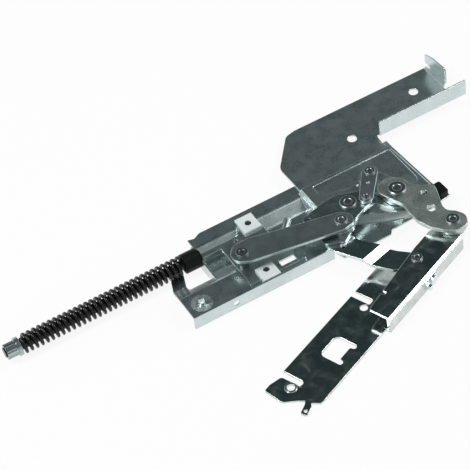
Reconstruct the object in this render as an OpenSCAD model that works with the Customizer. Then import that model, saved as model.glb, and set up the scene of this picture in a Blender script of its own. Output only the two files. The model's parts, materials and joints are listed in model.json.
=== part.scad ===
/* [Sheet metal] */
// Thickness of the housing and mounting plate sheet
sheet_t = 1.5; // [1:0.1:2]
// Thickness of the door bracket and door rail sheet
rail_t = 1.8; // [1.2:0.1:2]
// Height of the housing's base sheet above the ground
base_top = 8; // [7:0.5:9]
// Height of the raised front platform of the housing
deck_top = 12; // [11:0.5:13]
// Height of the embossed panel under the arm
panel_top = 13; // [12:0.5:14]
/* [Housing] */
// Distance from the arm pivot to the left end of the front platform
housing_left = 192; // [188:1:196]
// Distance from the arm pivot to the right edge of the panel
housing_right = 32; // [28:1:36]
// Distance from the arm pivot line to the front face
housing_front = 17.5; // [15:0.5:20]
// Distance from the arm pivot line to the back edge of the ledge
housing_back = 61; // [58:0.5:64]
// Width of the ledge behind the spring trough
ledge_w = 15; // [12:0.5:18]
/* [Mounting plate] */
// Length of the plate along the housing
mount_len = 157; // [150:1:165]
// Depth of the plate at its outer edge
mount_back = 114; // [108:0.5:118]
// Height of the stiffening flanges on the plate
mount_flange_h = 15; // [8:0.5:18]
// Height of the taller flange at the plate's free end
end_flange_h = 22.5; // [20:0.5:24]
// Diameter of the fixing holes
mount_hole_d = 7.6; // [5:0.1:9]
/* [Arm] */
// Distance between the arm pivot and the door pivot
arm_len = 55; // [52:0.5:58]
// Thickness of the arm plate
arm_t = 3.5; // [3:0.1:4]
// Diameter of the arm pivot rivet's shank
arm_pin_d = 10; // [8:0.5:11]
// Diameter of the door pivot rivet's shank
door_pin_d = 7; // [5:0.5:8]
/* [Crank and links] */
// Thickness of the crank plate
crank_t = 3.5; // [3:0.1:4]
// Thickness of the pull link and the coupler link
link_t = 2.9; // [2.5:0.1:3.2]
// Thickness of the door link
door_link_t = 2.8; // [2.4:0.1:3]
// Length of the pull link between its rivets
pull_len = 80.4; // [76:0.2:84]
// Diameter of the crank pivot rivet's shank
crank_pin_d = 9; // [7:0.5:10]
// Diameter of the rivets in the links
link_pin_d = 6; // [5:0.5:7]
// Diameter of the coupler link's lower rivet
small_pin_d = 4.6; // [4:0.2:5]
// Diameter of the pin under the crank that the door link turns on
frame_pin_d = 5; // [4:0.2:5.2]
/* [Door bracket] */
// Length of the door rail from the door pivot to its lug
rail_len = 186.6; // [180:1:195]
// Length of the door bracket from the door pivot
bracket_len = 103.3; // [98:0.5:108]
// Height of the door bracket's upper face above the ground
bracket_top = 14; // [13.8:0.1:14]
// Distance from the door pivot to the door link's rivet
link_u = 42; // [40:0.5:45]
/* [Spring unit] */
// Outer diameter of the spring
spring_d = 16; // [15:0.5:16]
// Diameter of the spring wire
wire_d = 2.6; // [2:0.1:2.8]
// Turns in the spring
turns = 31; // [26:1:34]
// Length of the spring at rest
spring_len = 140; // [132:1:146]
// Diameter of the pull rod
rod_d = 8; // [7:0.5:8.5]
// Length of the adjusting nut
nut_len = 12; // [10:0.5:16]
// Length of the black bush at the housing end
bush_len = 13; // [11:0.5:15]
/* [Fits] */
// Running clearance on radius at every pivot
pin_gap = 0.05; // [0.02:0.01:0.1]
// Gap between plates that slide over each other
slide_gap = 0.3; // [0.2:0.05:0.35]
/* [Hidden] */
$fn = 48;
eps = 0.01;
// Height of every cut that goes through the whole stack
cut_h = 40;

// The plan origin is the arm pivot, the datum shift puts the part's box on the frame's origin
mid_x = -106.75;
mid_y = -10.8765;

steel = [0.62, 0.66, 0.66];
dark_steel = [0.36, 0.4, 0.4];
black = [0.08, 0.08, 0.08];
white_plastic = [0.86, 0.88, 0.87];

// Levels of the stacked plates, worked out from the panel upwards
washer_h = 0.6;
rocker_t = 3.4;
crank_doubler_t = 2;
rocker_bottom = panel_top + washer_h;
arm_bottom = rocker_bottom + rocker_t + slide_gap;
arm_top = arm_bottom + arm_t;
doubler_t = arm_bottom - bracket_top - slide_gap;
link_bottom = max(arm_top, arm_bottom + crank_t) + slide_gap;
link_top = link_bottom + link_t;
crank_top = arm_bottom + crank_t;
crank_low = arm_bottom - crank_doubler_t;
door_link_top = crank_low - slide_gap;
door_link_bottom = door_link_top - door_link_t;
door_link_low_top = bracket_top - rail_t - slide_gap;
door_link_low_bottom = door_link_low_top - door_link_t;
slider_t = 2;
slider_bottom = base_top + slide_gap;
slider_top = slider_bottom + slider_t;
rivet_head_h = 1.5;
// Extra clearance of the eyes where the closed loops are opened
open_gap = 0.5;
tip_r = 2.6;

// Pivots in plan
arm_dir = -72.8;
door_pivot = arm_len * [cos(arm_dir), sin(arm_dir)];
rail_dir = 203;
link_v = -5.2;
link_pivot = door_pivot + turned([link_u, link_v], rail_dir);
frame_pin = [-66, -13];
crank_pivot = [-38.8, 9.5];
pull_pivot = crank_pivot + [-15.8, -15.6];
coupler_pivot = crank_pivot + [13.1, -5.7];
crank_tip = crank_pivot + [-35.1, 1.8];
tail_pivot = [-8.6, 25.6];
slider_pivot_y = 9.1;
slider_pivot = [pull_pivot[0] - sqrt(pow(pull_len, 2) - pow(slider_pivot_y - pull_pivot[1], 2)),
  slider_pivot_y];

// Plan geometry helpers
function turned(p, a) = [p[0] * cos(a) - p[1] * sin(a), p[0] * sin(a) + p[1] * cos(a)];
function unit(v) = v / norm(v);
function flat(p) = [p[0], p[1]];
function heading(v) = atan2(v[1], v[0]);
function wrap(a) = a > 180 ? a - 360 : a < -180 ? a + 360 : a;
function arc_points(c, r, a0, sweep,
  n) = [for (i = [0:n]) c + r * [cos(a0 + sweep * i / n), sin(a0 + sweep * i / n)]];
// One corner of an outline, replaced by an arc of the radius that is the point's third number
function corner(before, p, after) =
  p[2] == undef || p[2] == 0 ? [flat(p)] :
  let (
    a = unit(flat(before) - flat(p)),
    b = unit(flat(after) - flat(p)),
    half = acos(a * b) / 2,
    reach = min(p[2] / tan(half), 0.48 * norm(flat(before) - flat(p)), 0.48 * norm(flat(after) - flat(p))),
    r = reach * tan(half),
    c = flat(p) + unit(a + b) * r / sin(half),
    a0 = heading(flat(p) + a * reach - c),
    a1 = heading(flat(p) + b * reach - c)
  ) arc_points(c, r, a0, wrap(a1 - a0), 5);
function rounded(points) = let (m = len(points)) [
  for (i = [0:m - 1]) each corner(points[(i + m - 1) % m], points[i], points[(i + 1) % m])
];
// Outline of a strap round two pivots, with an end radius at each
function strap(a, b, ra, rb) = let (
  h = heading(b - a),
  lean = acos((ra - rb) / norm(b - a))
) concat(arc_points(a, ra, h + lean, 360 - 2 * lean, 20), arc_points(b, rb, h - lean, 2 * lean, 20));

// Building blocks
module sheet(points, z, t) {
  translate([0, 0, z]) linear_extrude(t) polygon(rounded(points));
}
module box(x0, x1, y0, y1, z0, z1) {
  translate([x0, y0, z0]) cube([x1 - x0, y1 - y0, z1 - z0]);
}
module post(at, r, z0, z1) {
  translate([at[0], at[1], z0]) cylinder(r = r, h = z1 - z0);
}
// A shank with a domed head above and a flat formed head below
module rivet(at, r, head_r, z0, z1, tail_r, tail_h) {
  post(at, r, z0, z1);
  translate([at[0], at[1], z1]) rotate_extrude() polygon([
    [0, 0], [head_r, 0], [head_r, rivet_head_h * 0.5], [head_r * 0.86, rivet_head_h],
    [head_r * 0.5, rivet_head_h], [head_r * 0.42, rivet_head_h * 0.7], [0, rivet_head_h * 0.7]
  ]);
  if (tail_h > 0) post(at, tail_r, z0 - tail_h, z0);
}
module at_door() {
  translate([door_pivot[0], door_pivot[1], 0]) rotate([0, 0, rail_dir]) children();
}
module place() {
  translate([-mid_x, -mid_y, 0]) children();
}

// Housing: one pressed sheet with a rear ledge, a spring trough, a front rail and a raised panel
ledge_in = housing_back - ledge_w;
fold_y = ledge_in + 1.5;
trough_front = 8;
trough_left = -157;
trough_right = -60;
deck_edge = 5.5;
deck_right = -141;
deck_wall_top = deck_top - 1;
rail_right = -69;
window_left = -178;
window_front = 14.5;
slot_left = -112;
slot_right = -92;
slot_front = -10;
slot_back = -1.5;
bend_h = 0.8;
base_outline = [
  [deck_right, -housing_front], [rail_right, -housing_front], [-66, -27.5, 2], [-23.7, -27.5, 2],
  [-20.8, -23.7, 2], [-1, -22.9, 3], [21, -22.5, 3], [25.5, -20.4, 2], [housing_right + 4, -19, 1],
  [housing_right + 4, -4, 1], [housing_right, -1, 2], [housing_right - 3, 52.6],
  [housing_right - 3, housing_back],
  [-144.5, housing_back, 4], [-150.5, housing_back - 3, 1], [trough_left + 1, housing_back - 1.5],
  [trough_left + 1, fold_y], [trough_right, fold_y], [trough_right, trough_front], [deck_right, trough_front]
];
// Sections across the trough, from its back edge to its front edge
back_fold = [[fold_y + 1, base_top], [fold_y, base_top], [ledge_in, base_top - bend_h],
  [39, sheet_t + bend_h], [37, sheet_t]];
rail_fold = [
  [22, sheet_t], [20, sheet_t + bend_h], [trough_front + 1.5, base_top - bend_h], [trough_front, base_top],
  [trough_front - 1, base_top]
];
deck_fold = [
  [23.5, sheet_t], [21.5, sheet_t + bend_h], [deck_edge + 1.5, deck_top - bend_h], [deck_edge, deck_top],
  [deck_edge - 1, deck_top]
];
// Plan of the slope in front of the window and of the strip beside it
strip_plan = [
  [-housing_left, deck_edge - 1], [-housing_left, deck_edge], [-housing_left + 2.8, 22.5, 6],
  [-housing_left + 8, 37],
  [-housing_left + 9, ledge_in], [window_left + 8, ledge_in], [window_left + 4, 33.4],
  [window_left + 0.5, 23.5, 6],
  [window_left - 1, window_front, 2], [deck_right, window_front], [deck_right, deck_edge - 1]
];
panel_pad = [[-57.3, 50.3], [-57.3, 12], [-48, 7.5], [-1, -19], [15, -15], [27, -4], [24, 50.3]];
panel_foot = [[-60, 51.9], [-60, 9.3], [-50.5, 0.6], [-3.5, -22.3], [17.5, -18.8], [31, -6.2], [28, 51.9]];
emboss_h = 0.6;
pad_field = [
  [-49, 47.5, 2], [-48.6, 38, 3], [-44, 33.6, 3], [-24, 29, 3], [-12, 33, 5], [2, 31, 5], [9.5, 12, 5],
  [17, 4.6, 3],
  [22, 5, 3], [23.6, 9, 3], [23, 47.5, 2]
];
pad_dent = [[-32, 0.5, 1], [-19, 4, 2], [-8, -13.4, 1]];
spring_y = 37.7;
spring_z = spring_d / 2 + 1.6;
bush_right = trough_left - sheet_t;
bush_left = bush_right - bush_len;
neck_r = 6;
neck_len = 0.5;
lip_hole = [-155.6, 5.5];
lip_hole_r = 2.5;
deck_hole = [-179.4, -7.2];
deck_hole_r = 2.4;
collar_r = 3.2;
collar_h = 2.2;
dish_r = 8.5;
rib_from = [-87, 29];
rib_to = [-79, 37.5];
rib_r = 3.2;

// Lower face of a bent sheet whose upper face follows a path
function along(path, i) = unit(path[i + 1] - path[i]);
function lower(path) = [for (i = [0:len(path) - 1]) let (
  a = along(path, max(i - 1, 0)),
  b = along(path, min(i, len(path) - 2)),
  m = unit(a + b)
) path[i] + sheet_t * [-m[1], m[0]] / sqrt((1 + a * b) / 2)];
function backwards(path) = [for (i = [len(path) - 1:-1:0]) path[i]];
function bent(path) = concat(path, backwards(lower(path)));
// A wall across the trough, from the sheet's lower face up to a level
function closed(path, top) = concat(lower(path), [[path[len(path) - 1][0], top], [path[0][0], top]]);

module across(x0, x1, section) {
  translate([x0, 0, 0]) rotate([90, 0, 90]) linear_extrude(x1 - x0) polygon(section);
}
module pad(drop) {
  translate([0, 0, -drop]) hull() {
    translate([0, 0, panel_top - eps]) linear_extrude(eps) polygon(panel_pad);
    translate([0, 0, base_top - sheet_t]) linear_extrude(eps) polygon(panel_foot);
  }
}
module trough() {
  across(trough_left - sheet_t, deck_right, bent(concat(back_fold, deck_fold)));
  across(deck_right - sheet_t, trough_right + sheet_t, bent(concat(back_fold, rail_fold)));
  intersection() {
    across(-housing_left, deck_right, bent(concat([[ledge_in, sheet_t]], deck_fold)));
    sheet(strip_plan, -1, deck_top + 2);
  }
  across(trough_left - sheet_t, trough_left, closed(concat(back_fold, deck_fold), deck_wall_top));
  across(trough_right, trough_right + sheet_t, closed(concat(back_fold, rail_fold), base_top));
  across(deck_right - sheet_t, deck_right, concat(lower(rail_fold), backwards(deck_fold)));
}
module trough_rib() {
  h = heading(rib_to - rib_from);
  translate([rib_from[0], rib_from[1], sheet_t - 1]) rotate([0, 0, h]) {
    rotate([0, 90, 0]) cylinder(r = rib_r, h = norm(rib_to - rib_from));
    sphere(r = rib_r);
    translate([norm(rib_to - rib_from), 0, 0]) sphere(r = rib_r);
  }
}
module housing_deck() {
  box(-housing_left, deck_right, -housing_front, deck_edge, deck_top - sheet_t, deck_top);
  box(deck_right - sheet_t, deck_right, -housing_front, trough_front - 1, base_top - sheet_t, deck_top);
  box(-housing_left, rail_right, -housing_front, sheet_t - housing_front, 0, deck_top);
  post(deck_hole, collar_r, deck_top - sheet_t, deck_top + collar_h);
}
module deck_dish() {
  translate([deck_hole[0], deck_hole[1], 0]) rotate_extrude() polygon([
    [collar_r, deck_top - 0.8], [dish_r, deck_top], [dish_r, deck_top + collar_h],
    [collar_r, deck_top + collar_h]
  ]);
}
module housing() color(steel) difference() {
  union() {
    difference() {
      union() {
        sheet(base_outline, base_top - sheet_t, sheet_t);
        housing_deck();
        pad(0);
      }
      pad(sheet_t);
    }
    trough();
    intersection() {
      trough_rib();
      box(rib_from[0] - 9, rib_to[0] + 9, rib_from[1] - 9, rib_to[1] + 9, 0.2, base_top);
    }
  }
  sheet(pad_field, panel_top - emboss_h, 2);
  sheet(pad_dent, panel_top - emboss_h, 2);
  deck_dish();
  post([0, 0], arm_pin_d / 2 + pin_gap, 0, panel_top + 1);
  post(crank_pivot, crank_pin_d / 2 + pin_gap, 0, panel_top + 1);
  post(frame_pin, frame_pin_d / 2 + pin_gap, 0, base_top + 1);
  post([-19.3, 28], 0.9, base_top, panel_top + 1);
  along_rod(trough_left - 3) cylinder(r = neck_r + pin_gap, h = 6);
  box(trough_left - 3, trough_left + 1, spring_y - neck_r - pin_gap, spring_y + neck_r + pin_gap, spring_z,
    cut_h);
  post(deck_hole, deck_hole_r, 0, cut_h);
  translate([lip_hole[0], 0, lip_hole[1]]) rotate([90, 0, 0]) cylinder(r = lip_hole_r, h = cut_h);
  box(slot_left, slot_right, slot_front, slot_back, 0, base_top + 1);
}

mount_right = mount_len - 57;
plate_front = 52.2;
plate_left = -57.4;
end_flange_top = base_top + end_flange_h;
end_flange = [
  [86, base_top], [mount_back - 1, base_top], [mount_back - 1, base_top + 3.5], [104.5, base_top + 6.5],
  [104, base_top + 8.5], [mount_back - 2, base_top + 9],
  [mount_back - 2, end_flange_top - 5], [101, end_flange_top - 1.5], [84, end_flange_top],
  [82, end_flange_top - 2],
  [82, base_top + 7], [84.5, base_top + 2.5]
];
module mounting_plate() color(steel) difference() {
  union() {
    sheet([
      [plate_left, plate_front, 1], [plate_left - 0.6, 83, 12], [-35, mount_back - 2, 8],
      [-26, mount_back, 4], [mount_right, mount_back],
      [mount_right, 69], [25, 69, 2], [24, plate_front]
    ], base_top, sheet_t);
    box(28, mount_len - 46, 68.5, 68.5 + sheet_t, base_top, base_top + mount_flange_h);
    across(mount_right - eps, mount_right + sheet_t, end_flange);
  }
  post([7.2, 78.1], mount_hole_d / 2, 0, cut_h);
  post([77.1, 94.9], mount_hole_d / 2, 0, cut_h);
}

// Fixed pivots and the stop
head_gap = 0.1;
module arm_pivot_rivet() color(dark_steel)
  rivet([0, 0], arm_pin_d / 2, 7.5, panel_top - sheet_t, arm_top + head_gap, 7.5, 1.2);
module arm_pivot_washer() color(steel) difference() {
  post([0, 0], 10, panel_top, rocker_bottom - head_gap);
  post([0, 0], arm_pin_d / 2 + pin_gap, 0, cut_h);
}
module crank_pivot_rivet() color(dark_steel)
  rivet(crank_pivot, crank_pin_d / 2, 7, panel_top - sheet_t, crank_top + head_gap, 6, 1.2);
module crank_pivot_collar() color(steel) difference() {
  post(crank_pivot, 8, panel_top, crank_low - head_gap);
  post(crank_pivot, crank_pin_d / 2 + pin_gap, 0, cut_h);
}
module link_frame_pin() color(dark_steel) {
  post(frame_pin, 3.9, base_top, door_link_bottom - slide_gap);
  post(frame_pin, frame_pin_d / 2, base_top - sheet_t, door_link_top);
  post(frame_pin, 4, base_top - sheet_t - 1, base_top - sheet_t);
}
module stop_buffer() color(black) sheet([
  [housing_right - 5, -18.5, 1.5], [housing_right + 3.5, -18, 1.5], [housing_right + 3, -5.5, 1.5],
  [housing_right - 2, -5.5, 1.5]
], base_top, 5);
module spring_bush() color(black) translate([bush_left, spring_y, spring_z]) rotate([0, 90, 0]) difference() {
  union() {
    cylinder(d = spring_d, h = bush_len);
    cylinder(r = neck_r, h = bush_len + neck_len + sheet_t);
  }
  translate([0, 0, -1]) cylinder(r = rod_d / 2 + slide_gap, h = bush_len + neck_len + 4);
}

// Swinging arm with its tip doubler
module hinge_arm() color(dark_steel) difference() {
  sheet([
    [-14.5, 4.7, 6], [-10.2, -5.7, 10], [-5.3, -16.5, 12], [-6.3, -27.7, 20],
    [door_pivot[0] - 22.3, door_pivot[1] + 14.3, 20], [door_pivot[0] - 18.4, door_pivot[1] + 3.8, 12],
    [door_pivot[0] - 11, door_pivot[1] - 5.4, 12], [door_pivot[0] - 2.8, door_pivot[1] - 11.2, 8],
    [door_pivot[0] + 7, door_pivot[1] - 10.4, 7], [door_pivot[0] + 11.8, door_pivot[1] - 1, 8],
    [door_pivot[0] + 7.5, door_pivot[1] + 6.7, 6], [door_pivot[0] + 2, door_pivot[1] + 11.5, 6],
    [door_pivot[0] + 2, door_pivot[1] + 17, 8], [24.6, -18, 5], [25.6, -11.5, 4], [16.5, -7.1, 6],
    [11.1, -1.2, 8],
    [9.5, 8, 6], [1, 15.2, 8], [-10, 13, 6]
  ], arm_bottom, arm_t);
  post([0, 0], arm_pin_d / 2 + pin_gap, 0, cut_h);
  post(door_pivot, door_pin_d / 2 + pin_gap, 0, cut_h);
  post([14.5, -15.7], 2.5, 0, cut_h);
  post([10, -32.6], 3.25, 0, cut_h);
}
doubler_end = door_pivot * (1 - 6 / arm_len);
module arm_doubler() color(dark_steel) difference() {
  sheet(strap(door_pivot, doubler_end, 10.5, 7.5), bracket_top + slide_gap, doubler_t);
  post(door_pivot, door_pin_d / 2 + pin_gap, 0, cut_h);
}
module door_pivot_rivet() color(dark_steel)
  rivet(door_pivot, door_pin_d / 2, 6, bracket_top - rail_t - head_gap, arm_top, 6, 1.3);

// Tail rocker and coupler link
module tail_rocker() color(dark_steel) difference() {
  sheet(strap([0, 0], tail_pivot, 11.5, 9), rocker_bottom, rocker_t);
  post([0, 0], arm_pin_d / 2 + pin_gap, 0, cut_h);
  post(tail_pivot, link_pin_d / 2 + pin_gap, 0, cut_h);
}
module tail_rivet() color(steel) {
  rivet(tail_pivot, link_pin_d / 2, 4.6, rocker_bottom, link_top + head_gap, 0, 0);
  post(tail_pivot, 5, rocker_bottom + rocker_t, link_bottom - slide_gap);
}
module coupler_link() color(dark_steel) difference() {
  sheet(strap(coupler_pivot, tail_pivot, 5.6, 6.4), link_bottom, link_t);
  post(coupler_pivot, small_pin_d / 2 + pin_gap, 0, cut_h);
  post(tail_pivot, link_pin_d / 2 + open_gap, 0, cut_h);
  post((coupler_pivot + tail_pivot) / 2 + [0.8, 1], 1.1, link_top - 0.6, cut_h);
}
module coupler_rivet() color(steel)
  rivet(coupler_pivot, small_pin_d / 2, 3.8, arm_bottom, link_top + head_gap, 3.4, 1.2);

// Crank: an upper plate with a smaller plate riveted under it
function from_crank(x, y, r = 0) = [crank_pivot[0] + x, crank_pivot[1] + y, r];
module crank_bores() {
  post(crank_pivot, crank_pin_d / 2 + pin_gap, 0, cut_h);
  post(pull_pivot, link_pin_d / 2 + pin_gap, 0, cut_h);
  post(crank_tip, tip_r + pin_gap, 0, cut_h);
}
module crank_plate() color(dark_steel) difference() {
  sheet([
    from_crank(-40.5, 2.8, 3), from_crank(-29.5, 8.4, 10), from_crank(-13.8, 12.3, 16),
    from_crank(-2.5, 12.6, 8),
    from_crank(5, 8.8, 6), from_crank(15, 6.5, 6), [coupler_pivot[0] + 6.6, coupler_pivot[1] + 1.2, 2],
    [coupler_pivot[0] + 1.8, coupler_pivot[1] - 3.2, 6],
    from_crank(-5, -18.2, 3), [pull_pivot[0] + 6, pull_pivot[1] - 9.5, 6],
    [pull_pivot[0] - 5, pull_pivot[1] - 10.5, 8],
    [pull_pivot[0] - 11, pull_pivot[1], 8]
  ], arm_bottom, crank_t);
  crank_bores();
  post(coupler_pivot, small_pin_d / 2 + pin_gap, 0, cut_h);
}
module crank_doubler() color(dark_steel) difference() {
  sheet([
    from_crank(-38.5, -1, 3), from_crank(-31, 5, 4), from_crank(-8, 10, 8), from_crank(9, 6, 6),
    from_crank(8, -8, 6),
    from_crank(-8, -21, 3), from_crank(-21.7, -30.3, 2), from_crank(-35.1, -24.5, 3)
  ], crank_low, arm_bottom - crank_low);
  crank_bores();
}
module crank_tip_rivet() color(steel) post(crank_tip, tip_r, crank_low, crank_top + 0.1);

// Pull link from the crank to the slider
module pull_link() color(dark_steel) difference() {
  sheet([
    [slider_pivot[0] + 11, slider_pivot_y + 11, 8], [pull_pivot[0] - 25, pull_pivot[1] + 15.5, 20],
    [pull_pivot[0] + 4, pull_pivot[1] + 9, 8], [pull_pivot[0] + 10, pull_pivot[1] + 2, 6],
    [pull_pivot[0] + 8.5, pull_pivot[1] - 7, 6], [pull_pivot[0] - 2, pull_pivot[1] - 9.5, 10],
    [slider_pivot[0] + 1, slider_pivot_y - 10.8, 8], [slider_pivot[0] - 8.4, slider_pivot_y - 6, 8],
    [slider_pivot[0] - 9.4, slider_pivot_y + 3, 8], [slider_pivot[0] - 2, slider_pivot_y + 11, 8]
  ], link_bottom, link_t);
  post(pull_pivot, link_pin_d / 2 + open_gap, 0, cut_h);
  post(slider_pivot, link_pin_d / 2 + pin_gap, 0, cut_h);
}
module pull_rivet() color(steel)
  rivet(pull_pivot, link_pin_d / 2, 5.2, crank_low, link_top + head_gap, 0, 0);

// Slider with its glide blocks
slider_left = slider_pivot[0] - 6;
rear_block = [slider_left + 22.5, 44];
front_block = [slider_left + 9.5, -8.65];
block_w = 15;
block_top = slider_top + 2.3;
rear_peg = rear_block + [block_w / 2, 0];
front_peg = front_block + [block_w / 2, 2.4];
peg_r = 2.6;
tongue_front = 34.1;
tongue_back = 38.7;
tongue_tip = bush_right - 8;
module slider_plate() color(steel) difference() {
  union() {
    sheet([
      [slider_left, -11.5, 1], [slider_left + 50, -11.5, 2], [slider_left + 50, 6, 4],
      [slider_left + 39, 27, 4],
      [slider_left + 38, 49, 2], [slider_left + 22.5, 49, 2], [slider_left + 20, 41, 2],
      [slider_left + 17, tongue_back, 2], [slider_left, tongue_back]
    ], slider_bottom, slider_t);
    box(tongue_tip, slider_left + 1, tongue_front, tongue_back, slider_bottom, slider_top);
  }
  post(slider_pivot, link_pin_d / 2 + pin_gap, 0, cut_h);
  post(rear_peg, peg_r + pin_gap, 0, cut_h);
  post(front_peg, peg_r + pin_gap, 0, cut_h);
  post([slider_left + 13.5, 34.5], 1.4, 0, cut_h);
  box(slider_left + 29.5, slider_left + 42.5, -8.5, -3, 0, cut_h);
}
module slider_rivet() color(steel) {
  rivet(slider_pivot, link_pin_d / 2, 5.2, slider_bottom, link_top + head_gap, 0, 0);
  post(slider_pivot, 4, slider_top, link_bottom - slide_gap);
}
module glide_block_rear() color(white_plastic) difference() {
  box(rear_block[0], rear_block[0] + block_w, rear_block[1] - 8.5, rear_block[1] + 8.5, slider_top,
    block_top);
  post(rear_peg, peg_r + pin_gap, 0, cut_h);
}
module glide_block_front() color(white_plastic) difference() {
  union() {
    box(front_block[0], front_block[0] + block_w, front_block[1] - 7.1, front_block[1] + 7.1, slider_top,
      block_top);
    box(front_block[0], front_block[0] + block_w, front_block[1] - 7.1, -11.7, base_top + 0.1, slider_top);
  }
  post(front_peg, peg_r + pin_gap, 0, cut_h);
}
module block_pin(at) {
  post(at, peg_r, slider_bottom, block_top - 0.8);
}
module block_pin_rear() color(dark_steel) block_pin(rear_peg);
module block_pin_front() color(dark_steel) block_pin(front_peg);

// Pull rod, spring and adjusting nut
spring_right = bush_left;
spring_left = spring_right - spring_len;
rod_left = spring_left - nut_len - 1;
module along_rod(x) {
  translate([x, spring_y, spring_z]) rotate([0, 90, 0]) children();
}
rod_right = bush_right - 1;
module pull_rod() color(black) difference() {
  along_rod(rod_left) cylinder(d = rod_d, h = rod_right - rod_left);
  box(tongue_tip - pin_gap, rod_right + 1, tongue_front - pin_gap, tongue_back + pin_gap,
    slider_bottom - pin_gap, slider_top + pin_gap);
}
nut_r = 6.2;
nut_grooves = 10;
module adjusting_nut() color(steel) difference() {
  union() {
    along_rod(spring_left - 3) cylinder(d = spring_d - 1, h = 3);
    along_rod(spring_left - nut_len) cylinder(r = nut_r, h = nut_len - 3);
  }
  along_rod(rod_left - 1) cylinder(r = rod_d / 2 + pin_gap, h = nut_len + 4);
  for (i = [0:nut_grooves - 1]) along_rod(spring_left - nut_len - 1) rotate([0, 0,
    (i + 0.5) * 360 / nut_grooves])
    translate([nut_r + 0.6, 0, 0]) cylinder(r = 1.1, h = nut_len - 3);
}
coil_steps = 14;
coil_sides = 6;
coil_r = (spring_d - wire_d) / 2;
coil_rings = turns * coil_steps;
function coil_rise(i) = wire_d / 2 + (spring_len - wire_d) * i / coil_rings;
function coil_point(i, j) = let (
  a = 360 * i / coil_steps,
  b = 360 * j / coil_sides,
  r = coil_r + wire_d / 2 * cos(b)
) [r * cos(a), r * sin(a), coil_rise(i) + wire_d / 2 * sin(b)];
module spring() color(black) along_rod(spring_left) polyhedron(
  points = [for (i = [0:coil_rings]) for (j = [0:coil_sides - 1]) coil_point(i, j)],
  faces = concat(
    [[for (j = [0:coil_sides - 1]) j]],
    [for (i = [0:coil_rings - 1]) for (j = [0:coil_sides - 1]) let (
      a = i * coil_sides + j,
      b = i * coil_sides + (j + 1) % coil_sides
    ) each [[a, a + coil_sides, b + coil_sides], [a, b + coil_sides, b]]],
    [[for (j = [coil_sides - 1:-1:0]) coil_rings * coil_sides + j]]
  )
);

// Door link: a strip with a step between its two levels
module at_link() {
  translate([link_pivot[0], link_pivot[1], 0]) rotate([0, 0, heading(frame_pin - link_pivot)]) children();
}
link_len = norm(frame_pin - link_pivot);
link_play = [2.7, 6.2];
play_gap = 0.8;
step_s = 23;
step_run = 7;
module door_link() color(dark_steel) difference() {
  intersection() {
    at_link() translate([0, 0,
      door_link_low_bottom]) linear_extrude(door_link_top - door_link_low_bottom) polygon(rounded([
      [-7.5, -2, 4], [-3, -7.5, 5], [17, -5, 6], [link_len - 17, -5.8, 8], [link_len - 4, -13, 8],
      [link_len + 9, -10, 8], [link_len + 9.5, 5, 8], [link_len - 4, 10.5, 10], [35, 13.6, 10],
      [24, 14.6, 4], [14, 14.4, 5], [-4, 6, 5]
    ]));
    at_link() rotate([90, 0, -24]) translate([0, 0, -40]) linear_extrude(80) polygon([
      [-30, door_link_low_bottom], [step_s, door_link_low_bottom], [step_s + step_run, door_link_bottom],
      [link_len + 30, door_link_bottom], [link_len + 30, door_link_top], [step_s + step_run, door_link_top],
      [step_s, door_link_low_top], [-30, door_link_low_top]
    ]);
  }
  post(link_pivot, link_pin_d / 2 + pin_gap, 0, cut_h);
  sheet(strap(frame_pin, frame_pin + link_play, frame_pin_d / 2 + play_gap,
    frame_pin_d / 2 + play_gap + eps), 0, cut_h);
  at_link() post([link_len - 9, 4], 2.2, 0, cut_h);
}
module door_link_rivet() color(steel)
  rivet(link_pivot, link_pin_d / 2, 4.6, door_link_low_bottom - head_gap, bracket_top, 5, 1.2);

// Door bracket and door rail, in the door pivot's own frame
flange_in = 8.6;
flange_out = flange_in + rail_t;
module door_bracket() color(steel) at_door() difference() {
  union() {
    sheet([
      [-10, -3, 6], [-5, -10, 6], [14, -12.8, 3], [34, -12.7, 3], [bracket_len - 4.7, -7.5, 2],
      [bracket_len, -6.5, 1], [bracket_len, flange_out], [2, flange_out, 3], [-8, 7, 6]
    ], bracket_top - rail_t, rail_t);
    box(5, bracket_len, flange_in, flange_out, rail_t, bracket_top);
  }
  post([0, 0], door_pin_d / 2 + pin_gap, 0, cut_h);
  post([link_u, link_v], link_pin_d / 2 + pin_gap, 0, cut_h);
  box(82.8, 85.4, -14, -5.4, 0, cut_h);
  screw_bore();
}
screw_u = 49;
screw_z = 7.5;
screw_r = 2.5;
module screw_bore() {
  translate([screw_u, 0, screw_z]) rotate([-90, 0, 0]) cylinder(r = screw_r + pin_gap, h = 30);
}
lug = rail_len;
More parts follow.
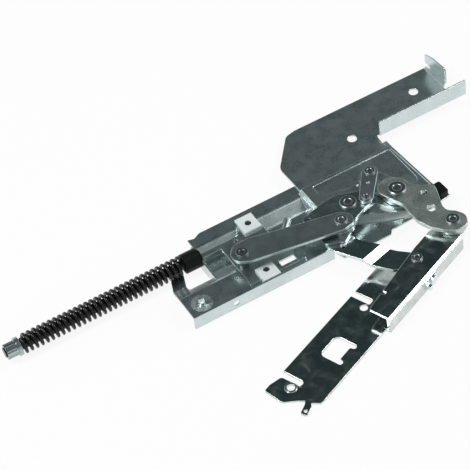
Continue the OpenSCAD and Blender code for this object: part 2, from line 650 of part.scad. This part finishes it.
module door_rail() color(steel) at_door() difference() {
  union() {
    sheet([
      [8, -8, 2], [44, -12, 4], [57, -32.5, 2], [lug - 9.6, -33, 1], [lug - 9.6, -14, 2], [lug - 4.6, -14, 2],
      [lug - 4.6, -31, 3], [lug + 5.8, -34, 2], [lug + 12.3, -34, 2], [lug + 14.5, -17, 6], [lug + 7, -8, 4],
      [lug + 4, -3, 2], [lug + 8, -1.5, 1], [lug + 15.6, 0.3, 2], [lug + 14.4, 6, 2], [lug + 6.4, 4, 2],
      [lug + 3.4, 1.5, 1], [lug, 7.5, 2], [lug - 4, 8.2, 3], [bracket_len + 1, 8.2],
      [bracket_len + 1, flange_out], [8, flange_out]
    ], 0, rail_t);
    box(5, bracket_len + 1, flange_out, flange_out + rail_t, 0, bracket_top - rail_t - 0.2);
    translate([0, 0, rail_t]) post([lug, -19], 4.6, 0, 0.6);
  }
  sheet([
    [128.6, -19.5, 4], [150, -19.5, 4], [150, -0.6, 1.5], [146.5, -0.6, 1.5], [145.5, -4.4, 1],
    [133, -4.4, 1],
    [132, -0.6, 1.5], [128.6, -0.6, 1.5]
  ], -1, 5);
  sheet([[85.5, -40], [91, -40], [91, -16, 1], [85.5, -16, 1]], -1, 5);
  post([95.5, -17.7], 3, -1, 5);
  post([lug, -19], 3, -1, 5);
  post([lug + 11.7, 2.5], 1.25, -1, 5);
  screw_bore();
}
module flange_clip() color(steel) at_door() difference() {
  union() {
    box(screw_u - 5, screw_u + 9, flange_out + rail_t, flange_out + rail_t + 1.2, 3, 11);
    box(screw_u + 6, screw_u + 9, flange_out + rail_t, flange_out + rail_t + 5, 5, 9);
  }
  screw_bore();
}
module flange_screw() color(dark_steel) at_door() translate([screw_u, 0, screw_z]) rotate([-90, 0, 0]) {
  translate([0, 0, flange_in - 3]) cylinder(r = screw_r, h = 3 + 2 * rail_t + 1.2);
  translate([0, 0, flange_in - 2.5]) cylinder(r = 4, h = 2.5, $fn = 6);
  translate([0, 0, flange_out + rail_t + 1.2]) cylinder(r = 4, h = 2);
}

place() housing();
place() mounting_plate();
place() arm_pivot_rivet();
place() arm_pivot_washer();
place() crank_pivot_rivet();
place() crank_pivot_collar();
place() link_frame_pin();
place() stop_buffer();
place() spring_bush();
place() hinge_arm();
place() arm_doubler();
place() door_pivot_rivet();
place() tail_rocker();
place() tail_rivet();
place() coupler_link();
place() coupler_rivet();
place() crank_plate();
place() crank_doubler();
place() crank_tip_rivet();
place() pull_link();
place() pull_rivet();
place() slider_plate();
place() slider_rivet();
place() glide_block_rear();
place() glide_block_front();
place() block_pin_rear();
place() block_pin_front();
place() pull_rod();
place() adjusting_nut();
place() spring();
place() door_link();
place() door_link_rivet();
place() door_bracket();
place() door_rail();
place() flange_clip();
place() flange_screw();
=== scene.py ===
import json
import math

import bmesh
import bpy
from mathutils import Matrix, Vector


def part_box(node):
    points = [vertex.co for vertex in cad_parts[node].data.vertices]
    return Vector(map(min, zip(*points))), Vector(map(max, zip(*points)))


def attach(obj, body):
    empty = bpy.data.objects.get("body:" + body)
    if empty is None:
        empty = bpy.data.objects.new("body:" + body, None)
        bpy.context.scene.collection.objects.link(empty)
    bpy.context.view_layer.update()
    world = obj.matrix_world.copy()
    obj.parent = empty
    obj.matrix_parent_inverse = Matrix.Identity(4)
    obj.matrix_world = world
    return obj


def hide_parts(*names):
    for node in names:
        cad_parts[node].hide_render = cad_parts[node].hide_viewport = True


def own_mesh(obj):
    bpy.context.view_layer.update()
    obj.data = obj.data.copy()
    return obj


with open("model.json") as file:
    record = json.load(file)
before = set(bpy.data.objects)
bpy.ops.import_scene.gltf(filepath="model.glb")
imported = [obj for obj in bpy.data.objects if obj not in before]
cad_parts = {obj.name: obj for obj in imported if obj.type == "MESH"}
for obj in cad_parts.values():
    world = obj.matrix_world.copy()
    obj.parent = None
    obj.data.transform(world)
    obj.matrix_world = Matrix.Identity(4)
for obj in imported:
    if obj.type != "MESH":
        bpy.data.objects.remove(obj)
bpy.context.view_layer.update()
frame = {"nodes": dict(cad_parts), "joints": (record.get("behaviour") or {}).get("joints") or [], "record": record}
nodeObjects = frame["nodes"]
bodyOf = {node: body for body, nodes in frame["record"]["behaviour"]["bodies"].items() for node in nodes}
slotOf = {part["node"]: part["material_slot"] for part in frame["record"]["subparts"]}
print("frame loaded:", len(nodeObjects), "nodes")


class Wire:
    # a value socket in a shader tree, so that sums on it read as sums
    def __init__(self, tree, socket):
        self.tree, self.socket = tree, socket

    def outlet(self, name):
        return Wire(self.tree, self.socket.node.outputs[name])

    def combine(self, operation, first, second):
        node = self.tree.nodes.new("ShaderNodeMath")
        node.operation = operation
        for inlet, value in zip(node.inputs, (first, second)):
            if isinstance(value, Wire):
                self.tree.links.new(value.socket, inlet)
            else:
                inlet.default_value = value
        return Wire(self.tree, node.outputs[0])

    def greater(self, other):
        return self.combine("MAXIMUM", self, other)

    def __add__(self, other):
        return self.combine("ADD", self, other)

    def __radd__(self, other):
        return self.combine("ADD", other, self)

    def __sub__(self, other):
        return self.combine("SUBTRACT", self, other)

    def __rsub__(self, other):
        return self.combine("SUBTRACT", other, self)

    def __mul__(self, other):
        return self.combine("MULTIPLY", self, other)

    def __rmul__(self, other):
        return self.combine("MULTIPLY", other, self)


class Painter:
    # builds one node tree: add() takes a node's type, its settings and what goes into its sockets
    def __init__(self, owner):
        owner.use_nodes = True
        self.tree = owner.node_tree

    def add(self, kind, settings=None, inlets=None, outlet=0):
        node = self.tree.nodes.new(kind)
        for name, value in (settings or {}).items():
            if name == "stops":
                ramp = node.color_ramp
                while len(ramp.elements) < len(value):
                    ramp.elements.new(0.5)
                for stop, (place, colour) in zip(ramp.elements, value):
                    stop.position, stop.color = place, colour
            else:
                setattr(node, name, value)
        for name, value in (inlets or {}).items():
            self.feed(node.inputs[name], value)
        return Wire(self.tree, node.outputs[outlet])

    def feed(self, inlet, value):
        if isinstance(value, Wire):
            self.tree.links.new(value.socket, inlet)
        else:
            inlet.default_value = value

    def noise(self, place, look):
        return self.add("ShaderNodeTexNoise", inlets={"Vector": place, **look})

    def ramp(self, value, stops):
        return self.add("ShaderNodeValToRGB", {"stops": stops}, {"Fac": value})

    def blend(self, factor, first, second):
        inlets = {"Factor": factor, "A": first, "B": second}
        return self.add("ShaderNodeMix", {"data_type": "RGBA"}, inlets, outlet=2)


def grey(level):
    return (level, level, level, 1)


def shade(colour, factor):
    return tuple(min(1.0, level * factor) for level in colour) + (1,)


def newMaterial(name):
    material = bpy.data.materials.new(name)
    paint = Painter(material)
    return material, paint, paint.tree.nodes["Principled BSDF"].inputs


# finishes: cloud, speck and smudge say how far the tone and the gloss wander, waves how far the sheet does
steelFinishes = {
    "zinc_sheet": {
        "colour": (0.62, 0.70, 0.70), "rough": 0.285,
        "cloud": 0.13, "speck": 1.5, "smudge": 0.06, "waves": 0.12,
    },
    "link_steel": {
        "colour": (0.52, 0.59, 0.60), "rough": 0.30,
        "cloud": 0.15, "speck": 1.6, "smudge": 0.06, "waves": 0.02,
    },
    "arm_steel": {
        "colour": (0.545, 0.60, 0.57), "rough": 0.37,
        "cloud": 0.26, "speck": 2.4, "smudge": 0.10, "waves": 0.02,
    },
    "rivet_steel": {
        "colour": (0.27, 0.31, 0.31), "rough": 0.30,
        "cloud": 0.20, "speck": 1.5, "smudge": 0.06, "waves": 0.02,
    },
    "door_steel": {
        "colour": (0.60, 0.65, 0.63), "rough": 0.15,
        "cloud": 0.26, "speck": 1.4, "smudge": 0.26, "waves": 0.02,
    },
    "nut_steel": {
        "colour": (0.40, 0.46, 0.45), "rough": 0.28,
        "cloud": 0.16, "speck": 1.2, "smudge": 0.05, "waves": 0.02,
    },
    "bright_link": {
        "colour": (0.70, 0.75, 0.75), "rough": 0.15,
        "cloud": 0.16, "speck": 1.2, "smudge": 0.16, "waves": 0.02,
    },
    "dark_link": {
        "colour": (0.38, 0.45, 0.45), "rough": 0.28,
        "cloud": 0.22, "speck": 2.0, "smudge": 0.08, "waves": 0.02,
    },
    "bright_clip": {
        "colour": (0.78, 0.85, 0.88), "rough": 0.24,
        "cloud": 0.12, "speck": 1.0, "smudge": 0.05, "waves": 0.02,
    },
    # painted shade: this pin is dark with grease like the rivets, and darker still so that the post under the pull
    # link's end reads as the shadow there
    "greased_pin_painted_shade": {
        "colour": (0.16, 0.19, 0.19), "rough": 0.36,
        "cloud": 0.20, "speck": 1.2, "smudge": 0.06, "waves": 0.02,
    },
}
ownFinish = {  # pieces whose finish differs from others of their slot
    "door_link": "bright_link",
    "crank_plate": "dark_link",
    # painted shade: the slider's pin is darkened to stand for the shadow under the pull link's end
    "slider_rivet": "greased_pin_painted_shade",
    "flange_clip": "bright_clip",
    "flange_screw": "bright_clip",
}
steelGrain = {
    "stretch": {"Scale": (500, 1000, 1000), "Rotation": (0, 0, 0.35)},  # the rolling draws the specks out
    "specks": {"Scale": 1.0, "Detail": 3.0, "Roughness": 0.6},
    "cloud": {"Scale": 60.0, "Detail": 4.0, "Roughness": 0.65},
    "smudge": {"Scale": 95.0, "Detail": 3.0, "Distortion": 0.6},
    "waves": {"Scale": 22.0, "Detail": 1.0},
    "cloudTone": 1.6,
    "speckGloss": 0.04,
    "speckBump": {"Strength": 0.006, "Distance": 0.0002},
    "waveHeight": 0.003,
}
coatFinishes = {
    "spring_black": {
        "colour": (0.006, 0.006, 0.006), "rough": 0.17, "shine": 0.36, "bump": 0.08, "scale": 900,
    },
    "bush_black": {
        "colour": (0.006, 0.007, 0.006), "rough": 0.40, "shine": 0.15, "bump": 0.15, "scale": 1100,
    },
    "glide_plastic": {
        "colour": (0.72, 0.78, 0.77), "rough": 0.45, "shine": 0.40, "bump": 0.08, "scale": 1100,
    },
}
coatGrain = {
    "skinDetail": 3.0,
    "skinGloss": 0.12,
    "skinHeight": 0.0002,
    "cloud": {"Scale": 60.0, "Detail": 2.0},
    "dim": 0.85,
    "bright": 1.12,
}


def steelMaterial(name, look):
    # rolled sheet: fine specks in the plating, a slow cloud of tone, smudges in its gloss and low waves
    material, paint, shader = newMaterial(name)
    place = paint.add("ShaderNodeTexCoord", outlet="Object")
    along = paint.add("ShaderNodeMapping", inlets={"Vector": place, **steelGrain["stretch"]})
    specks = paint.noise(along, steelGrain["specks"]) - 0.5
    cloud = paint.noise(place, steelGrain["cloud"]) - 0.5
    smudge = paint.noise(place, steelGrain["smudge"]) - 0.5
    waves = paint.noise(place, steelGrain["waves"])
    mottle = 0.5 + cloud * steelGrain["cloudTone"] + specks * look["speck"]
    dim, bright = shade(look["colour"], 1 - look["cloud"]), shade(look["colour"], 1 + look["cloud"])
    paint.feed(shader["Base Color"], paint.blend(mottle, dim, bright))
    gloss = look["rough"] + smudge * (look["smudge"] * 2) + specks * steelGrain["speckGloss"]
    paint.feed(shader["Roughness"], gloss)
    shader["Metallic"].default_value = 1.0
    swell = {"Strength": look["waves"], "Distance": steelGrain["waveHeight"], "Height": waves}
    wavy = paint.add("ShaderNodeBump", inlets=swell)
    pits = {"Height": specks, "Normal": wavy, **steelGrain["speckBump"]}
    paint.feed(shader["Normal"], paint.add("ShaderNodeBump", inlets=pits))
    return material


def coatMaterial(name, look):
    # moulded or painted: fine skin texture and a little change of tone
    material, paint, shader = newMaterial(name)
    place = paint.add("ShaderNodeTexCoord", outlet="Object")
    skin = paint.noise(place, {"Scale": look["scale"], "Detail": coatGrain["skinDetail"]})
    cloud = paint.noise(place, coatGrain["cloud"])
    dim, bright = shade(look["colour"], coatGrain["dim"]), shade(look["colour"], coatGrain["bright"])
    paint.feed(shader["Base Color"], paint.blend(cloud, dim, bright))
    paint.feed(shader["Roughness"], look["rough"] + (skin - 0.5) * coatGrain["skinGloss"])
    shader["Specular IOR Level"].default_value = look["shine"]
    pits = {"Strength": look["bump"], "Distance": coatGrain["skinHeight"], "Height": skin}
    paint.feed(shader["Normal"], paint.add("ShaderNodeBump", inlets=pits))
    return material


finishes = {name: steelMaterial(name, look) for name, look in steelFinishes.items()}
finishes.update({name: coatMaterial(name, look) for name, look in coatFinishes.items()})
print("finishes made:", len(finishes))


def meshFrom(shape, name):
    mesh = bpy.data.meshes.new(name)
    shape.to_mesh(mesh)
    shape.free()
    return mesh


def addObject(name, data):
    thing = bpy.data.objects.new(name, data)
    bpy.context.scene.collection.objects.link(thing)
    return thing


def dress(piece, body, slot, finish, *nodes):
    piece.data.materials.clear()
    piece.data.materials.append(finishes[finish])
    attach(piece, body)
    if nodes:
        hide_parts(*nodes)


# sheet and turned pieces: the solids with their edges broken as on the real stampings
edgeBreaks = {
    "default": {"width": 0.00025, "segments": 2},
    "housing": {"width": 0.0010, "segments": 4, "cutEdges": 0.3, "free": True},
    "mounting_plate": {"width": 0.0004, "segments": 3, "free": True},
    "hinge_arm": {"width": 0.0005, "segments": 3, "free": True},
    "crank_plate": {"width": 0.0005, "segments": 3, "free": True},
    "pull_link": {"width": 0.0005, "segments": 3, "free": True},
    "coupler_link": {"width": 0.0005, "segments": 3, "free": True},
    "tail_rocker": {"width": 0.0004, "segments": 3, "free": True},
    "slider_plate": {"width": 0.0003, "segments": 2, "free": True},
    "door_rail": {"width": 0.0003, "segments": 2, "free": True},
    "door_bracket": {"width": 0.0004, "segments": 3, "free": True},
    "door_link": {"width": 0.0003, "segments": 2, "free": True},
    "glide_block_rear": {"width": 0.0005, "segments": 3},
    "glide_block_front": {"width": 0.0005, "segments": 3},
}
foldLook = {"from": math.radians(20), "to": math.radians(62), "length": 0.020}  # what counts as a fold
# the shallow dish round the deck's collar: its rim stays crisp, and its foot is pressed a little deeper
dishLook = {"rim": 0.0085, "foot": 0.0032, "reach": 0.0004, "deeper": 0.0005}
dishCentre = Vector(next(m for m in frame["record"]["mounts"] if m["name"] == "deck_hole")["pos_m"])
weldReach = 0.000004
flatAngle = math.radians(0.6)  # triangles closer than this lie in one flat face
creaseAngle = math.radians(21)


def offDish(corner, part):
    return abs((corner.co - dishCentre).to_2d().length - dishLook[part])


def onDish(edge, part):
    return max(offDish(corner, part) for corner in edge.verts) < dishLook["reach"]


def isFold(edge):
    turn = edge.calc_face_angle(0)
    return foldLook["from"] < turn < foldLook["to"] and edge.calc_length() > foldLook["length"]


def isSmooth(edge):
    if len(edge.link_faces) != 2 or onDish(edge, "rim"):
        return False
    return edge.calc_face_angle(0) < creaseAngle


def deepenDish(shape):
    collar = [corner for corner in shape.verts if offDish(corner, "foot") < dishLook["reach"]]
    heights = [corner.co.z for corner in collar]
    middle = (min(heights) + max(heights)) / 2
    foot = [corner for corner in collar if corner.co.z < middle]
    bmesh.ops.translate(shape, verts=foot, vec=(0, 0, -dishLook["deeper"]))


def softened(node):
    look = edgeBreaks.get(node, edgeBreaks["default"])
    shape = bmesh.new()
    shape.from_mesh(nodeObjects[node].data)
    bmesh.ops.remove_doubles(shape, verts=shape.verts, dist=weldReach)
    bmesh.ops.dissolve_limit(shape, angle_limit=flatAngle, verts=shape.verts, edges=shape.edges)
    if node == "housing":
        deepenDish(shape)
    for face in shape.faces:
        face.smooth = True
    for edge in shape.edges:
        edge.smooth = isSmooth(edge)
    weight = shape.edges.layers.float.new("bevel_weight_edge")
    for edge in shape.edges:
        if not edge.smooth and not onDish(edge, "rim") and not onDish(edge, "foot"):
            edge[weight] = 1.0 if isFold(edge) else look.get("cutEdges", 1.0)
    piece = addObject(node + "_skin", meshFrom(shape, node + "Skin"))
    bevel = piece.modifiers.new("edges", "BEVEL")
    bevel.width, bevel.segments = look["width"], look["segments"]
    bevel.limit_method = "WEIGHT"
    bevel.use_clamp_overlap = not look.get("free", False)
    bevel.harden_normals = True
    shading = piece.modifiers.new("flats", "WEIGHTED_NORMAL")
    shading.keep_sharp = True
    dress(piece, bodyOf[node], slotOf[node], ownFinish.get(node, slotOf[node]), node)


for node in nodeObjects:
    if node != "spring":
        softened(node)
print("edges broken on the plates and rivets")

springLook = {"wire": 0.0026, "turns": 31, "sides": 10, "stepsPerTurn": 28}


def coilSpring():
    low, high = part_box("spring")
    middle = (low + high) / 2
    thick = springLook["wire"]
    radius = (high.z - low.z - thick) / 2
    steps = springLook["turns"] * springLook["stepsPerTurn"]
    length = high.x - low.x
    shape = bmesh.new()
    start = Matrix.Translation((low.x + thick / 2, middle.y, middle.z + radius))
    start = start @ Matrix.Rotation(math.pi / 2, 4, "X")
    ring = bmesh.ops.create_circle(shape, segments=springLook["sides"], radius=thick / 2, cap_ends=True,
                                   matrix=start)
    section = shape.faces[:] + shape.edges[:] + ring["verts"]
    bmesh.ops.spin(shape, geom=section, cent=(low.x, middle.y, middle.z), axis=(1, 0, 0),
                   dvec=((length - thick) / steps, 0, 0), angle=2 * math.pi * springLook["turns"],
                   steps=steps, use_merge=False, use_duplicate=False)
    bmesh.ops.recalc_face_normals(shape, faces=shape.faces)
    for face in shape.faces:
        face.smooth = True
    coil = addObject("spring_coil", meshFrom(shape, "springCoil"))
    dress(coil, "frame", "spring_black", "spring_black", "spring")
    slide = next(joint for joint in frame["joints"] if joint["name"] == "slider_travel")
    1 - slide["range_m"][1] / length
    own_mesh(coil)


coilSpring()
print("spring wound")

floorLook = {"size": 8.0, "level": -0.0002, "colour": (0.86, 0.86, 0.86, 1), "rough": 0.9, "seen": 0.90}
# white walls under a dark ceiling strip, which the up-facing plates mirror towards the camera
studioLook = {
    "walls": (0.72, 0.73, 0.73, 1),
    "across": (0.961, -0.166, -0.221),  # square to the strip, which runs from behind the part to its front
    # white against the sine of the angle off the strip, halved and shifted by a half: its left is wider
    "sideStops": [(0.17, grey(1.0)), (0.25, grey(0.0)), (0.67, grey(0.0)), (0.77, grey(1.0))],
    "heightStops": [(0.38, grey(1.0)), (0.58, grey(0.0))],  # white against the sine of the elevation
    "stripStops": [(0.66, (0.10, 0.125, 0.125, 1)), (0.78, (0.028, 0.045, 0.045, 1))],  # darker to the rear
}


def makeFloor():
    shape = bmesh.new()
    bmesh.ops.create_grid(shape, x_segments=1, y_segments=1, size=floorLook["size"] / 2)
    floor = addObject("floor", meshFrom(shape, "floor"))
    floor.location.z = floorLook["level"]
    material, paint, shader = newMaterial("floor")
    shader["Base Color"].default_value = floorLook["colour"]
    shader["Roughness"].default_value = floorLook["rough"]
    matt = Wire(paint.tree, paint.tree.nodes["Principled BSDF"].outputs[0])
    ray = paint.add("ShaderNodeLightPath")
    seen = ray.outlet("Is Camera Ray").greater(ray.outlet("Is Glossy Ray"))
    seen = seen.greater(ray.outlet("Is Transmission Ray"))
    glow = paint.add("ShaderNodeEmission", inlets={"Color": grey(1.0), "Strength": 1.0})
    surface = paint.add("ShaderNodeMixShader", inlets={0: seen * floorLook["seen"], 1: matt, 2: glow})
    paint.feed(paint.tree.nodes["Material Output"].inputs["Surface"], surface)
    floor.data.materials.append(material)


def makeWorld():
    world = bpy.data.worlds.new("studio")
    bpy.context.scene.world = world
    paint = Painter(world)
    way = paint.add("ShaderNodeTexCoord", outlet="Generated")
    parts = paint.add("ShaderNodeSeparateXYZ", inlets={0: way})
    depth, height = parts.outlet("Y"), parts.outlet("Z")
    aside = paint.add("ShaderNodeVectorMath", {"operation": "DOT_PRODUCT"}, {0: way, 1: studioLook["across"]},
                      outlet="Value")
    side = paint.ramp(aside * 0.5 + 0.5, studioLook["sideStops"])
    low = paint.ramp(height, studioLook["heightStops"])
    strip = paint.ramp(depth * 0.5 + 0.5, studioLook["stripStops"])
    room = paint.blend(side.greater(low), strip, studioLook["walls"])
    seen = paint.add("ShaderNodeLightPath", outlet="Is Camera Ray")
    background = paint.tree.nodes["Background"].inputs
    paint.feed(background["Color"], paint.blend(seen, room, grey(1.0)))
    background["Strength"].default_value = 1.0


lamps = [
    {"name": "keySoftbox", "place": (-0.95, 0.25, 1.6), "size": 0.6, "watts": 15},
    {"name": "fillSoftbox", "place": (1.2, -0.2, 1.45), "size": 0.6, "watts": 9},
    {"name": "roofSoftbox", "place": (0.835, -0.156, 1.27), "size": 0.5, "watts": 1.4},
]


def makeLamps():
    for lamp in lamps:
        light = bpy.data.lights.new(lamp["name"], "AREA")
        light.energy, light.size = lamp["watts"], lamp["size"]
        holder = addObject(lamp["name"], light)
        holder.location = lamp["place"]
        holder.rotation_euler = (-Vector(lamp["place"])).to_track_quat("-Z", "Y").to_euler()


cameraLook = {  # angles in degrees; the focal length and the picture's width in pixels
    "azimuth": -23.4, "elevation": 46.2, "roll": -9.0, "distance": 1.56,
    "focalPixels": 2000, "imagePixels": 470, "sensor": 36,
}
cameraTarget = Vector((-0.012742, 0.060455, 0.0))


def makeCamera():
    azimuth, elevation, roll = (math.radians(cameraLook[name]) for name in ("azimuth", "elevation", "roll"))
    right = Vector((math.cos(azimuth), math.sin(azimuth), 0))
    forward = Vector((-math.sin(azimuth), math.cos(azimuth), 0))
    back = -math.cos(elevation) * forward + math.sin(elevation) * Vector((0, 0, 1))
    up = back.cross(right)
    tiltedRight = math.cos(roll) * right + math.sin(roll) * up
    tiltedUp = math.cos(roll) * up - math.sin(roll) * right
    camera = bpy.data.cameras.new("camera")
    camera.sensor_width = cameraLook["sensor"]
    camera.lens = camera.sensor_width * cameraLook["focalPixels"] / cameraLook["imagePixels"]
    holder = addObject("camera", camera)
    turn = Matrix((tiltedRight, tiltedUp, back)).transposed().to_4x4()
    holder.matrix_world = Matrix.Translation(cameraTarget + back * cameraLook["distance"]) @ turn
    bpy.context.scene.camera = holder


makeFloor()
makeWorld()
makeLamps()
makeCamera()
bpy.context.scene.view_settings.view_transform = "Standard"
print("stage, light and camera set")
